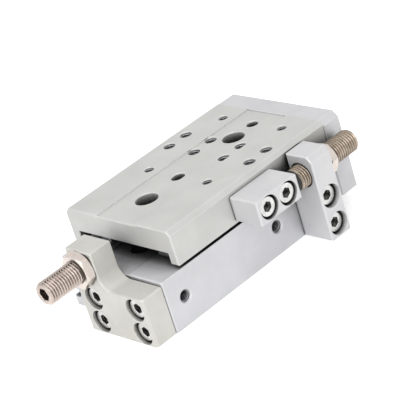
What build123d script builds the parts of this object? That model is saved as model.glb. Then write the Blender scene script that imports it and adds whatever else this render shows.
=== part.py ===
from build123d import *
from math import cos, radians, tan
import os

# Twin-rod pneumatic slide cylinder with a ball-guided table and two screw adjusters.
# Millimetres. X is the stroke and points out, Y is across, Z is up.
# The origin is the centre of the body's base face.
# The table stands near the extended end of its stroke.

# Clearances
thread_gap = 0.02
running_gap = 0.05
seal_gap = 0.02
seat_gap = 0.02
edge_break = 0.4
fine_edge_break = 0.2
overcut = 1.0
screw_run_out = 0.5

# Stroke
table_travel_back = 9.6
table_travel_out = 0.4
stop_gap = 0.05
table_rear_margin = 0.2

# Body
body_length = 89.0
body_width = 60.0
shoulder_height = 23.0
guide_space = 6.8
rib_width = 15.0
rib_clearance = 0.9
rib_end_wall = 1.5
guide_recess_width = 22.6
guide_recess_depth = 0.4
bore_diameter = 16.0
bore_spacing = 24.4
bore_height = 11.6
port_thread = 5.0
port_thread_depth = 7.0
port_passage = 3.0
port_countersink = 0.6
rear_port_inset = 9.2
front_port_inset = 26.4
sensor_groove_diameter = 4.2
sensor_groove_mouth = 2.8
sensor_groove_low = 6.2
sensor_groove_high = 17.8
sensor_groove_lip = 0.35
base_thread = 5.0
base_thread_depth = 7.0
base_hole_pitch_x = 50.0
base_hole_pitch_y = 45.0
through_bolt_hole = 5.5
through_bolt_seat = 9.4
through_bolt_seat_depth = 5.4

# Table
table_length = 89.6
table_width = 62.0
table_thickness = 10.2
leg_width = 4.4
leg_clearance = 2.0
table_chamfer = 1.8
recess_width = 22.8
recess_depth = 0.5
access_hole = 9.6
access_hole_pitch = 51.0
access_hole_inset = 17.7
pin_hole = 5.0
pin_pitch = 44.6
pin_slot_travel = 1.0
pattern_inset = 58.0
work_thread = 5.0
work_pitch_x = 10.0
work_offset = 0.9
work_inner_pitch = 17.6
work_outer_pitch = 47.2
small_thread = 4.0
small_thread_depth = 8.0
small_pitch_y = 34.4
countersink_extra = 0.35

# End plate
end_plate_thickness = 9.4
end_plate_overhang = 0.4
end_plate_top_drop = 0.1
end_plate_bottom = 5.0
end_plate_chamfer = 2.4
end_plate_back_chamfer = 0.8
end_plate_screw = 4.0
end_plate_screw_length = 12.0
end_plate_screw_pitch = 16.0
end_plate_screws_in_row = 4
hidden_screw_sink = 0.6
end_plate_thread = 5.0
end_plate_hole_pitch_y = 36.0
end_plate_hole_pitch_z = 9.0
end_plate_hole_height = 24.0

# Rear stop block and its adjuster
rear_block_length = 11.0
rear_block_over_screws = 5.5
rear_block_side_inset = 0.3
rear_block_corner_radius = 1.8
tower_width = 15.2
tower_over_adjuster = 7.2
tower_centre_y = 0.8
tower_foot_radius = 6.0
rear_screw_spacing_y = 24.4
rear_screw_low = 5.4
rear_screw_spacing_z = 10.7
adjuster_thread = 10.0
adjuster_pitch = 1.25
adjuster_socket = 5.0
adjuster_countersink = 0.5
thread_depth_share = 0.6
rear_adjuster_above_screws = 14.6
rear_adjuster_length = 27.8
lock_nut_height = 4.2
lock_nut_face_share = 0.97
lock_nut_bevel = 30.0
rear_lock_nut_flats = 14.0
rear_lock_nut_turn = 15.0
bumper_setback = 0.4
bumper_length = 4.0
bumper_stem_diameter = 4.0
bumper_stem_length = 4.0

# Front stop block and its adjuster
front_block_length = 11.3
front_block_inset = 2.5
front_block_wall = 7.2
front_block_over_adjuster = 8.8
front_block_chamfer_y = 2.0
front_block_chamfer_z = 2.45
front_block_table_gap = 1.4
front_block_step_above = 0.5
front_screw_low = 5.5
front_screw_spacing_z = 12.6
front_screw_recess = 2.3
front_lock_nut_flats = 12.0
front_lock_nut_turn = 25.0
front_lock_nut_clearance = 0.17
front_adjuster_above_screws = 11.5
front_adjuster_length = 34.6
front_bumper_reach = 8.75

# Stopper block on the table's side
stopper_length = 23.5
stopper_depth = 15.0
stopper_below_adjuster = 3.6
stopper_height = 10.8
stopper_screw_rise = 5.5
stopper_screw_spacing = 11.0
stopper_screw_recess = 1.2

# Socket head cap screws, as shares of the thread size
main_screw = 5.0
rear_screw_length = 12.0
front_screw_length = 16.0
stopper_screw_length = 12.0
rear_screw_recess = 1.5
head_diameter_share = 1.5
head_diameter_extra = 1.0
socket_share = 0.8
socket_depth_share = 0.6
head_break_share = 0.06
tip_break_share = 0.12
counterbore_gap_share = 0.15

# Rods and pistons
rod_diameter = 8.0
rod_spigot_diameter = 5.0
piston_length = 14.0
piston_rear_gap = 1.2
piston_nut_flats = 8.0
piston_nut_height = 3.2
piston_nut_pocket = 9.8
piston_nut_sink = 0.6
rod_spigot_sink = 0.3
piston_seal_width = 2.0
piston_seal_depth = 1.6
piston_seal_inset = 2.0
wear_ring_width = 2.0
wear_ring_depth = 1.0
magnet_width = 3.5
magnet_depth = 1.8
magnet_cover = 0.5
piston_groove_spacing = 1.0
rod_screw = 4.0
rod_screw_length = 12.0

# Rod covers and rear plugs
retaining_ring_width = 1.1
retaining_ring_depth = 0.8
retaining_ring_inset = 1.0
retaining_ring_bar = 1.6
retaining_ring_mouth_share = 0.45
rod_cover_length = 20.0
rod_bush_length = 10.0
rod_bush_wall = 1.0
rod_bush_inset = 2.0
rod_cover_gap = 0.3
rod_seal_width = 3.0
rod_seal_wall = 2.2
rod_seal_sink = 0.3
o_ring_width = 1.8
o_ring_depth = 1.3
o_ring_inset = 3.0
rear_plug_length = 4.4
bumper_ring_length = 1.5
bumper_ring_wall = 2.4
bumper_ring_gap = 0.4
port_plug_sink = 0.6
port_plug_end_gap = 1.9
port_plug_socket_share = 0.5

# Ball guide
guide_rail_width = 5.4
guide_rail_clearance = 1.0
body_rail_length = 50.0
table_rail_end_gap = 4.8
rail_gap = 1.2
ball_diameter = 3.0
ball_gap = 0.04
ball_pitch = 4.5
balls_in_row = 9
cage_thickness = 0.7
cage_height = 4.0
cage_end = 3.0
rail_screw = 2.0
rail_screw_length = 5.0
rail_screw_pitch = 16.0
body_rail_screws_in_row = 3
table_rail_screws_in_row = 4
rail_screw_shift = 0.6
rail_screw_sink = 0.3

# Places that follow from the sizes above
body_rear = -body_length / 2
body_front = body_length / 2
body_side = body_width / 2
bore_y = bore_spacing / 2
table_under = shoulder_height + guide_space
overall_height = table_under + table_thickness
rib_top = table_under - rib_clearance
table_rear = body_rear + table_travel_back + table_rear_margin
table_front = table_rear + table_length
table_side = table_width / 2
leg_bottom = shoulder_height + leg_clearance
leg_inner = table_side - leg_width
end_plate_front = table_front + end_plate_thickness
end_plate_side = table_side + end_plate_overhang
end_plate_top = overall_height - end_plate_top_drop
recess_floor = overall_height - recess_depth
pattern_x = table_rear + pattern_inset
access_x = [table_rear + access_hole_inset + n * access_hole_pitch for n in (0, 1)]
through_bolt_x = [x - table_travel_back for x in access_x]
rib_rear = through_bolt_x[0] + through_bolt_seat / 2 + rib_end_wall
rear_block_rear = body_rear - rear_block_length
rear_screw_high = rear_screw_low + rear_screw_spacing_z
rear_block_low_height = rear_screw_high + rear_block_over_screws
rear_adjuster_height = rear_screw_high + rear_adjuster_above_screws
tower_height = rear_adjuster_height + tower_over_adjuster
bumper_diameter = adjuster_thread - 2 * bumper_setback
tower_left = tower_centre_y + tower_width / 2
tower_right = tower_centre_y - tower_width / 2
front_block_front = body_front - front_block_inset
front_block_rear = front_block_front - front_block_length
front_lock_nut_corner = front_lock_nut_flats / 2 / cos(radians(30))
front_adjuster_line = -end_plate_side - front_lock_nut_corner - front_lock_nut_clearance
front_block_outer = front_adjuster_line - front_block_wall
front_block_depth = -body_side - front_block_outer
front_screw_high = front_screw_low + front_screw_spacing_z
front_adjuster_height = front_screw_high + front_adjuster_above_screws
front_block_height = front_adjuster_height + front_block_over_adjuster
rear_bumper_tip = table_rear - table_travel_back - stop_gap
front_bumper_tip = front_block_rear - front_bumper_reach
stopper_front = front_bumper_tip - table_travel_out - stop_gap
stopper_rear = stopper_front - stopper_length
stopper_outer = -table_side - stopper_depth
stopper_bottom = front_adjuster_height - stopper_below_adjuster
stopper_top = stopper_bottom + stopper_height
stopper_screw_height = stopper_bottom + stopper_screw_rise
plug_outer = body_rear + retaining_ring_inset + retaining_ring_width
plug_inner = plug_outer + rear_plug_length
cover_outer = body_front - retaining_ring_inset - retaining_ring_width
cover_inner = cover_outer - rod_cover_length
piston_rear = plug_inner + piston_rear_gap + table_travel_back
piston_front = piston_rear + piston_length
rear_port_x = body_rear + rear_port_inset
front_port_x = body_front - front_port_inset
guide_rail_height = guide_space - guide_rail_clearance
rail_y = rib_width / 2 + guide_rail_width / 2
ball_y = rib_width / 2 + guide_rail_width + rail_gap / 2
table_rail_y = ball_y + rail_gap / 2 + guide_rail_width / 2
ball_z = (shoulder_height + table_under) / 2
table_rail_rear = table_rear + table_rail_end_gap
table_rail_front = table_front - table_rail_end_gap
table_rail_centre = (table_rail_rear + table_rail_front) / 2
body_rail_rear = rib_rear + rib_end_wall + seat_gap
body_rail_front = body_rail_rear + body_rail_length
body_rail_centre = (body_rail_rear + body_rail_front) / 2
cage_centre = (body_rail_centre + table_rail_centre) / 2
cage_length = (balls_in_row - 1) * ball_pitch + 2 * cage_end
sides = (-1, 1)


# Plain solids placed by their ends

def block(x0, x1, y0, y1, z0, z1):
    centre = Pos((x0 + x1) / 2, (y0 + y1) / 2, (z0 + z1) / 2)
    return centre * Box(abs(x1 - x0), abs(y1 - y0), abs(z1 - z0))


def round_x(diameter, x0, x1, y, z):
    return Pos((x0 + x1) / 2, y, z) * Rot(0, 90, 0) * Cylinder(diameter / 2, abs(x1 - x0))


def round_y(diameter, y0, y1, x, z):
    return Pos(x, (y0 + y1) / 2, z) * Rot(90, 0, 0) * Cylinder(diameter / 2, abs(y1 - y0))


def round_z(diameter, z0, z1, x, y):
    return Pos(x, y, (z0 + z1) / 2) * Cylinder(diameter / 2, abs(z1 - z0))


def ring_x(outer, inner, x0, x1, y, z):
    return round_x(outer, x0, x1, y, z) - round_x(inner, x0 - overcut, x1 + overcut, y, z)


def section_x(points, x0, x1):
    outline = Plane.YZ.offset(x0) * Polyline(*points, close=True)
    return extrude(make_face(outline), amount=x1 - x0, dir=(1, 0, 0))


def end_edges(solid):
    faces = solid.faces().sort_by(Axis.X)
    return faces[0].edges() + faces[-1].edges()


def facing(origin, direction, solid):
    return Plane(origin=origin, z_dir=direction) * solid


def group(solids):
    return Compound(children=list(solids))


# Screws and the holes they sit in, drawn with the head towards local +Z and the seat at zero

def head_diameter(size):
    return head_diameter_share * size + head_diameter_extra


def hexagon(flats, height):
    return extrude(RegularPolygon(flats / 2, 6, major_radius=False), amount=height)


def cap_screw(size, length):
    head = Pos(0, 0, size / 2) * Cylinder(head_diameter(size) / 2, size)
    head = chamfer(head.edges().sort_by(Axis.Z)[-1], size * head_break_share)
    shank = Pos(0, 0, -length / 2) * Cylinder(size / 2, length)
    shank = chamfer(shank.edges().sort_by(Axis.Z)[0], size * tip_break_share)
    socket_depth = size * socket_depth_share
    socket = Pos(0, 0, size - socket_depth) * hexagon(size * socket_share, socket_depth + overcut)
    return head + shank - socket


def screw_hole(size, grip, threaded, recess):
    seat_radius = head_diameter(size) / 2 + size * counterbore_gap_share
    reach = size + recess + 2 * overcut
    seat = Pos(0, 0, reach / 2) * Cylinder(seat_radius, reach)
    shank_radius = size / 2 + thread_gap
    shank_length = grip + threaded
    shank = Pos(0, 0, -shank_length / 2) * Cylinder(shank_radius, shank_length)
    return seat + shank


def tapped_hole(size, depth, countersink=countersink_extra):
    wall = Pos(0, 0, -depth / 2 + overcut) * Cylinder(size / 2, depth + 2 * overcut)
    mouth = Pos(0, 0, -countersink / 2) * Cone(size / 2, size / 2 + countersink, countersink)
    return wall + mouth


def countersunk_bore(diameter, x0, x1, y, z):
    bore = round_x(diameter, x0 - overcut, x1 + overcut, y, z)
    reach = adjuster_countersink + overcut
    mouth = Pos(0, 0, reach / 2 - adjuster_countersink) * Cone(diameter / 2, diameter / 2 + reach, reach)
    return bore + facing((x0, y, z), (-1, 0, 0), mouth) + facing((x1, y, z), (1, 0, 0), mouth)


# Body with its bores, ports, passages and grooves

def along_body(diameter, y, z):
    return round_x(diameter, body_rear - overcut, body_front + overcut, y, z)


def body_blank():
    base = block(body_rear, body_front, -body_side, body_side, 0, shoulder_height)
    root = shoulder_height - overcut
    rib = block(rib_rear, body_front, -rib_width / 2, rib_width / 2, root, rib_top)
    blank = chamfer(base.faces().sort_by(Axis.X)[0].edges(), edge_break)
    half = guide_recess_width / 2
    floor = shoulder_height - guide_recess_depth
    blank -= block(body_rear - overcut, rib_rear, -half, half, floor, shoulder_height + overcut)
    return blank + rib


def body_bore_cuts(side):
    y = side * bore_y
    cuts = along_body(bore_diameter, y, bore_height)
    ring = bore_diameter + 2 * retaining_ring_depth
    rear_ring = body_rear + retaining_ring_inset
    front_ring = body_front - retaining_ring_inset
    cuts += round_x(ring, rear_ring, rear_ring + retaining_ring_width, y, bore_height)
    cuts += round_x(ring, front_ring - retaining_ring_width, front_ring, y, bore_height)
    return cuts


def body_port_cuts(x):
    reach = body_side - port_thread_depth + overcut
    cuts = round_y(port_passage, -reach, reach, x, bore_height)
    for side in sides:
        hole = tapped_hole(port_thread, port_thread_depth, port_countersink)
        cuts += facing((x, side * body_side, bore_height), (0, side, 0), hole)
    return cuts


def body_sensor_grooves():
    cuts = []
    for z in (sensor_groove_low, sensor_groove_high):
        y = body_side - sensor_groove_lip - sensor_groove_diameter / 2
        cuts.append(along_body(sensor_groove_diameter, y, z))
        half = sensor_groove_mouth / 2
        ends = (body_rear - overcut, body_front + overcut)
        cuts.append(block(*ends, y, body_side + overcut, z - half, z + half))
    return cuts


def body_screw_holes():
    holes = []
    for y in rear_screw_lines():
        for z in rear_screw_rows():
            seat_x = body_rear - rear_block_grip()
            hole = screw_hole(main_screw, 0, rear_screw_length + screw_run_out, 0)
            holes.append(facing((seat_x, y, z), (-1, 0, 0), hole))
    for z in front_screw_rows():
        seat_y = front_block_outer + main_screw + front_screw_recess
        hole = screw_hole(main_screw, 0, front_screw_length + screw_run_out, 0)
        holes.append(facing((front_block_centre(), seat_y, z), (0, -1, 0), hole))
    for side in sides:
        for x in body_rail_screw_lines():
            y = side * (rail_y - rail_screw_shift)
            hole = screw_hole(rail_screw, 0, rail_screw_length + screw_run_out, 0)
            holes.append(Pos(x, y, body_rail_seat()) * hole)
    return holes


def body_mounting_holes():
    holes = []
    for x in sides:
        for y in sides:
            place = (x * base_hole_pitch_x / 2, y * base_hole_pitch_y / 2, 0)
            holes.append(facing(place, (0, 0, -1), tapped_hole(base_thread, base_thread_depth)))
    recess = shoulder_height - guide_recess_depth
    for x, top in zip(through_bolt_x, (recess, rib_top)):
        holes.append(round_z(through_bolt_hole, -overcut, rib_top, x, 0))
        seat = top - through_bolt_seat_depth
        holes.append(round_z(through_bolt_seat, seat, top + overcut, x, 0))
    return holes


def make_body():
    blank = body_blank()
    for side in sides:
        blank -= body_bore_cuts(side)
    for x in (rear_port_x, front_port_x):
        blank -= body_port_cuts(x)
    for cut in body_sensor_grooves() + body_screw_holes() + body_mounting_holes():
        blank -= cut
    return blank


# Rear stop block with the tower for its adjuster

def rear_screw_lines():
    return (tower_centre_y, tower_centre_y - rear_screw_spacing_y)


def rear_screw_rows():
    return (rear_screw_low, rear_screw_high)


def rear_block_grip():
    return rear_block_length - main_screw - rear_screw_recess


def make_rear_block():
    right = -body_side + rear_block_side_inset
    corner = rear_block_low_height
    foot = tower_right - tower_foot_radius
    rise = corner + tower_foot_radius
    points = [(tower_left, 0), (right, 0), (right, corner), (tower_right, corner)]
    points += [(tower_right, tower_height), (tower_left, tower_height)]
    blank = section_x(points, rear_block_rear, body_rear)
    upright = blank.edges().filter_by(Axis.Z).group_by(Axis.Y)[0].sort_by(Axis.X)[0]
    blank = fillet(upright, rear_block_corner_radius)
    web = block(rear_block_rear, body_rear, foot, tower_right + overcut, corner - overcut, rise)
    ends = (rear_block_rear - overcut, body_rear + overcut)
    blank += web - round_x(2 * tower_foot_radius, *ends, foot, rise)
    blank = chamfer(end_edges(blank), edge_break)
    bore = adjuster_thread + 2 * running_gap
    blank -= countersunk_bore(bore, rear_block_rear, body_rear, tower_centre_y, rear_adjuster_height)
    for y in rear_screw_lines():
        for z in rear_screw_rows():
            seat_x = body_rear - rear_block_grip()
            hole = screw_hole(main_screw, rear_block_grip(), overcut, rear_screw_recess)
            blank -= facing((seat_x, y, z), (-1, 0, 0), hole)
    return blank


def make_rear_block_screws():
    screws = []
    for y in rear_screw_lines():
        for z in rear_screw_rows():
            place = (body_rear - rear_block_grip(), y, z)
            screws.append(facing(place, (-1, 0, 0), cap_screw(main_screw, rear_screw_length)))
    return group(screws)


# Front stop block on the body's side

def front_block_centre():
    return (front_block_rear + front_block_front) / 2


def front_screw_rows():
    return (front_screw_low, front_screw_high)


def make_front_block():
    inner = -table_side - front_block_table_gap
    step = shoulder_height + front_block_step_above
    outer = front_block_outer
    top = front_block_height
    points = [(-body_side, 0), (outer, 0), (outer, top - front_block_chamfer_z)]
    points += [(outer + front_block_chamfer_y, top), (inner, top), (inner, step)]
    points += [(-body_side, step)]
    blank = section_x(points, front_block_rear, front_block_front)
    blank = chamfer(end_edges(blank), edge_break)
    bore = adjuster_thread + 2 * running_gap
    line = (front_adjuster_line, front_adjuster_height)
    blank -= countersunk_bore(bore, front_block_rear, front_block_front, *line)
    grip = front_block_depth - main_screw - front_screw_recess
    for z in front_screw_rows():
        place = (front_block_centre(), -body_side - grip, z)
        hole = screw_hole(main_screw, grip, overcut, front_screw_recess)
        blank -= facing(place, (0, -1, 0), hole)
    return blank


def make_front_block_screws():
    seat_y = front_block_outer + main_screw + front_screw_recess
    screws = []
    for z in front_screw_rows():
        place = (front_block_centre(), seat_y, z)
        screws.append(facing(place, (0, -1, 0), cap_screw(main_screw, front_screw_length)))
    return group(screws)


# Adjusters: threaded bolt with hexagon socket, rubber bumper and lock nut

def thread_profile(length):
    crest = adjuster_thread / 2
    root = crest - thread_depth_share * adjuster_pitch
    lead = adjuster_pitch
    count = int((length - 2 * lead) / adjuster_pitch)
    points = [(0, 0), (root, 0)]
    for n in range(count):
        start = lead / 2 + n * adjuster_pitch
        points.append((crest, start + 0.40 * adjuster_pitch))
        points.append((crest, start + 0.55 * adjuster_pitch))
        points.append((root, start + 0.95 * adjuster_pitch))
    points += [(root, length), (0, length)]
    return points


def adjuster_bolt(length):
    # Local Z runs from the bumper end at zero to the socket end
    outline = Plane.XZ * Polyline(*thread_profile(length), close=True)
    bolt = revolve(make_face(outline), Axis.Z)
    socket_depth = adjuster_socket
    bolt -= Pos(0, 0, length - socket_depth) * hexagon(adjuster_socket, socket_depth + overcut)
    seat = bumper_stem_length + seat_gap
    bolt -= Pos(0, 0, seat / 2) * Cylinder(bumper_stem_diameter / 2 + running_gap, seat)
    return bolt


def bumper():
    # Local Z runs from the stem's end to the striking face
    stem = Pos(0, 0, -bumper_stem_length / 2) * Cylinder(bumper_stem_diameter / 2, bumper_stem_length)
    pad = Pos(0, 0, bumper_length / 2) * Cylinder(bumper_diameter / 2, bumper_length)
    pad = chamfer(pad.edges().sort_by(Axis.Z)[-1], fine_edge_break)
    return stem + pad


def lock_nut(flats, turn):
    face = flats / 2 * lock_nut_face_share
    reach = flats / 2 / cos(radians(30)) + fine_edge_break
    rise = (reach - face) * tan(radians(lock_nut_bevel))
    points = [(0, 0), (face, 0), (reach, rise), (reach, lock_nut_height - rise)]
    points += [(face, lock_nut_height), (0, lock_nut_height)]
    bevels = revolve(make_face(Plane.XZ * Polyline(*points, close=True)), Axis.Z)
    hole = Cylinder(adjuster_thread / 2 + running_gap, 3 * lock_nut_height)
    return Rot(0, 0, turn) * ((hexagon(flats, lock_nut_height) & bevels) - hole)


def make_rear_adjuster():
    y = tower_centre_y
    z = rear_adjuster_height
    shoulder = rear_bumper_tip - bumper_length
    bolt = facing((shoulder, y, z), (-1, 0, 0), adjuster_bolt(rear_adjuster_length))
    pad = facing((shoulder, y, z), (1, 0, 0), bumper())
    nut = lock_nut(rear_lock_nut_flats, rear_lock_nut_turn)
    nut = facing((rear_block_rear, y, z), (-1, 0, 0), nut)
    return bolt, pad, nut


def make_front_adjuster():
    y = front_adjuster_line
    z = front_adjuster_height
    shoulder = front_bumper_tip + bumper_length
    bolt = facing((shoulder, y, z), (1, 0, 0), adjuster_bolt(front_adjuster_length))
    pad = facing((shoulder, y, z), (-1, 0, 0), bumper())
    nut = lock_nut(front_lock_nut_flats, front_lock_nut_turn)
    nut = facing((front_block_front, y, z), (1, 0, 0), nut)
    return bolt, pad, nut


# Table with its work holes

def table_section():
    top = overall_height
    side = table_side
    half = recess_width / 2
    points = [(side, leg_bottom), (leg_inner, leg_bottom), (leg_inner, table_under)]
    points += [(-leg_inner, table_under), (-leg_inner, leg_bottom), (-side, leg_bottom)]
    points += [(-side, top - table_chamfer), (-side + table_chamfer, top), (-half, top)]
    points += [(-half, recess_floor), (half, recess_floor), (half, top)]
    points += [(side - table_chamfer, top), (side, top - table_chamfer)]
    return points


def table_access_holes():
    holes = []
    for x in access_x:
        holes.append(Pos(x, 0, recess_floor) * tapped_hole(access_hole, table_thickness))
    return holes


def table_pin_holes():
    round_hole = Pos(pattern_x + pin_pitch / 2, 0, recess_floor)
    slot_hole = Pos(pattern_x - pin_pitch / 2, 0, recess_floor)
    holes = [round_hole * tapped_hole(pin_hole, table_thickness)]
    for side in sides:
        shift = Pos(side * pin_slot_travel / 2, 0, 0)
        holes.append(slot_hole * shift * tapped_hole(pin_hole, small_thread_depth))
    return holes


def table_work_holes():
    holes = []
    for column in sides:
        x = pattern_x + work_offset + column * work_pitch_x / 2
        for side in sides:
            inner = Pos(x, side * work_inner_pitch / 2, recess_floor)
            outer = Pos(x, side * work_outer_pitch / 2, overall_height)
            holes.append(inner * tapped_hole(work_thread, table_thickness))
            holes.append(outer * tapped_hole(work_thread, table_thickness + overcut))
    return holes


def table_small_holes():
    holes = []
    for column in sides:
        for side in sides:
            x = pattern_x + column * pin_pitch / 2
            place = Pos(x, side * small_pitch_y / 2, overall_height)
            holes.append(place * tapped_hole(small_thread, small_thread_depth))
    return holes


def table_rail_screw_cuts():
    holes = []
    for side in sides:
        for x in table_rail_screw_lines():
            y = side * (table_rail_y + rail_screw_shift)
            hole = screw_hole(rail_screw, 0, rail_screw_length + screw_run_out, 0)
            holes.append(facing((x, y, table_rail_seat()), (0, 0, -1), hole))
    return holes


def table_stopper_cuts():
    holes = []
    for x in stopper_screw_lines():
        seat_y = stopper_outer + main_screw + stopper_screw_recess
        hole = screw_hole(main_screw, 0, stopper_screw_length + screw_run_out, 0)
        holes.append(facing((x, seat_y, stopper_screw_height), (0, -1, 0), hole))
    return holes


def table_end_plate_cuts():
    holes = []
    for y in end_plate_screw_lines():
        hole = screw_hole(end_plate_screw, 0, end_plate_screw_length + screw_run_out, 0)
        holes.append(facing((end_plate_seat(), y, end_plate_screw_height()), (1, 0, 0), hole))
    return holes


def make_table():
    blank = section_x(table_section(), table_rear, table_front)
    blank = chamfer(blank.faces().sort_by(Axis.X)[0].edges(), edge_break)
    cuts = table_access_holes() + table_pin_holes() + table_work_holes() + table_small_holes()
    cuts += table_rail_screw_cuts() + table_stopper_cuts() + table_end_plate_cuts()
    for cut in cuts:
        blank -= cut
    return blank


# End plate that ties the rods to the table

def end_plate_seat():
    return end_plate_front - end_plate_screw - hidden_screw_sink


def end_plate_screw_height():
    return overall_height - table_thickness / 2


def end_plate_screw_lines():
    last = end_plate_screws_in_row - 1
    return [(n - last / 2) * end_plate_screw_pitch for n in range(end_plate_screws_in_row)]


def rod_screw_seat():
    return end_plate_front - rod_screw - hidden_screw_sink


def make_end_plate():
    side = end_plate_side
    top = end_plate_top
    cut = end_plate_chamfer
    points = [(side, end_plate_bottom), (-side, end_plate_bottom), (-side, top - cut)]
    points += [(-side + cut, top), (side - cut, top), (side, top - cut)]
    blank = section_x(points, table_front, end_plate_front)
    uprights = blank.faces().sort_by(Axis.X)[0].edges().filter_by(Axis.Z)
    blank = chamfer(uprights, end_plate_back_chamfer)
    back_top = blank.faces().sort_by(Axis.X)[0].edges().sort_by(Axis.Z)[-1]
    blank = chamfer(back_top, fine_edge_break)
    blank = chamfer(blank.faces().sort_by(Axis.X)[-1].edges(), fine_edge_break)
    for y in end_plate_screw_lines():
        hole = screw_hole(end_plate_screw, end_plate_thickness, 0, hidden_screw_sink)
        blank -= facing((end_plate_seat(), y, end_plate_screw_height()), (1, 0, 0), hole)
    for side in sides:
        hole = screw_hole(rod_screw, end_plate_thickness, 0, hidden_screw_sink)
        blank -= facing((rod_screw_seat(), side * bore_y, bore_height), (1, 0, 0), hole)
    for y in sides:
        for z in sides:
            place_y = y * end_plate_hole_pitch_y / 2
            place_z = end_plate_hole_height + z * end_plate_hole_pitch_z / 2
            hole = tapped_hole(end_plate_thread, end_plate_thickness)
            blank -= facing((end_plate_front, place_y, place_z), (1, 0, 0), hole)
    return blank


def make_end_plate_screws():
    screws = []
    for y in end_plate_screw_lines():
        place = (end_plate_seat(), y, end_plate_screw_height())
        screws.append(facing(place, (1, 0, 0), cap_screw(end_plate_screw, end_plate_screw_length)))
    return group(screws)


# Stopper block on the table's side

def stopper_screw_lines():
    centre = (stopper_rear + stopper_front) / 2
    return (centre - stopper_screw_spacing / 2, centre + stopper_screw_spacing / 2)


def make_stopper():
    blank = block(stopper_rear, stopper_front, stopper_outer, -table_side, stopper_bottom, stopper_top)
    blank = chamfer(blank.edges(), edge_break)
    grip = stopper_depth - main_screw - stopper_screw_recess
    for x in stopper_screw_lines():
        place = (x, -table_side - grip, stopper_screw_height)
        hole = screw_hole(main_screw, grip, overcut, stopper_screw_recess)
        blank -= facing(place, (0, -1, 0), hole)
    return blank


def make_stopper_screws():
    screws = []
    for x in stopper_screw_lines():
        place = (x, stopper_outer + main_screw + stopper_screw_recess, stopper_screw_height)
        screws.append(facing(place, (0, -1, 0), cap_screw(main_screw, stopper_screw_length)))
    return group(screws)


# Rods, pistons and what seals them

def make_rod(side):
    y = side * bore_y
    rod = round_x(rod_diameter, piston_front, table_front, y, bore_height)
    spigot_end = piston_rear + rod_spigot_sink
    rod += round_x(rod_spigot_diameter, spigot_end, piston_front, y, bore_height)
    hole = screw_hole(rod_screw, 0, rod_screw_length + screw_run_out, 0)
    return rod - facing((rod_screw_seat(), y, bore_height), (1, 0, 0), hole)


def make_rod_screws():
    screws = []
    for side in sides:
        place = (rod_screw_seat(), side * bore_y, bore_height)
        screws.append(facing(place, (1, 0, 0), cap_screw(rod_screw, rod_screw_length)))
    return group(screws)


def piston_grooves():
    seal = (piston_rear + piston_seal_inset, piston_seal_width, piston_seal_depth)
    magnet_start = seal[0] + piston_seal_width + piston_groove_spacing
    magnet = (magnet_start, magnet_width, magnet_depth)
    wear = (magnet_start + magnet_width + piston_groove_spacing, wear_ring_width, wear_ring_depth)
    return seal, magnet, wear


def make_piston(side):
    y = side * bore_y
    outer = bore_diameter - 2 * running_gap
    piston = round_x(outer, piston_rear, piston_front, y, bore_height)
    for start, width, depth in piston_grooves():
        piston -= ring_x(outer + overcut, outer - 2 * depth, start, start + width, y, bore_height)
    hole = rod_spigot_diameter + 2 * seat_gap
    piston -= round_x(hole, piston_rear - overcut, piston_front + overcut, y, bore_height)
    pocket = piston_rear + piston_nut_height + piston_nut_sink
    piston -= round_x(piston_nut_pocket, piston_rear - overcut, pocket, y, bore_height)
    return piston


def piston_ring(groove, outer):
    start, width, depth = groove
    rings = []
    for side in sides:
        inner = bore_diameter - 2 * running_gap - 2 * depth + 2 * seal_gap
        ends = (start + seal_gap, start + width - seal_gap)
        rings.append(ring_x(outer, inner, ends[0], ends[1], side * bore_y, bore_height))
    return group(rings)


def make_piston_seals():
    return piston_ring(piston_grooves()[0], bore_diameter - 2 * seal_gap)


def make_magnets():
    return piston_ring(piston_grooves()[1], bore_diameter - 2 * magnet_cover)


def make_wear_rings():
    return piston_ring(piston_grooves()[2], bore_diameter - 2 * seal_gap)


def make_piston_nuts():
    nuts = []
    for side in sides:
        start = piston_rear + piston_nut_sink
        nut = hexagon(piston_nut_flats, piston_nut_height)
        nut = nut - Cylinder(rod_spigot_diameter / 2 + seat_gap, 3 * piston_nut_height)
        nuts.append(facing((start, side * bore_y, bore_height), (1, 0, 0), nut))
    return group(nuts)


# Rod covers at the front of the bores and plugs at the rear

def cover_groove_start():
    return cover_inner + o_ring_inset


def plug_groove_start():
    return plug_outer + (rear_plug_length - o_ring_width) / 2


def make_rod_cover(side):
    y = side * bore_y
    outer = bore_diameter - 2 * seat_gap
    cover = round_x(outer, cover_inner, cover_outer, y, bore_height)
    groove = cover_groove_start()
    floor = outer - 2 * o_ring_depth
    cover -= ring_x(outer + overcut, floor, groove, groove + o_ring_width, y, bore_height)
    hole = rod_diameter + 2 * rod_cover_gap
    cover -= round_x(hole, cover_inner - overcut, cover_outer + overcut, y, bore_height)
    bush = rod_diameter + 2 * rod_bush_wall + 2 * seat_gap
    bush_start = cover_inner + rod_bush_inset
    cover -= round_x(bush, bush_start, bush_start + rod_bush_length, y, bore_height)
    seal = rod_diameter + 2 * rod_seal_wall
    cover -= round_x(seal, cover_outer - rod_seal_width, cover_outer + overcut, y, bore_height)
    return cover


def cover_rings(outer, inner, x0, x1):
    return group(ring_x(outer, inner, x0, x1, side * bore_y, bore_height) for side in sides)


def make_rod_bushes():
    start = cover_inner + rod_bush_inset + seat_gap
    outer = rod_diameter + 2 * rod_bush_wall
    inner = rod_diameter + 2 * running_gap
    return cover_rings(outer, inner, start, start + rod_bush_length - 2 * seat_gap)


def make_rod_seals():
    outer = rod_diameter + 2 * rod_seal_wall - 2 * seal_gap
    inner = rod_diameter + 2 * seal_gap
    start = cover_outer - rod_seal_width + seal_gap
    return cover_rings(outer, inner, start, cover_outer - rod_seal_sink)


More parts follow.
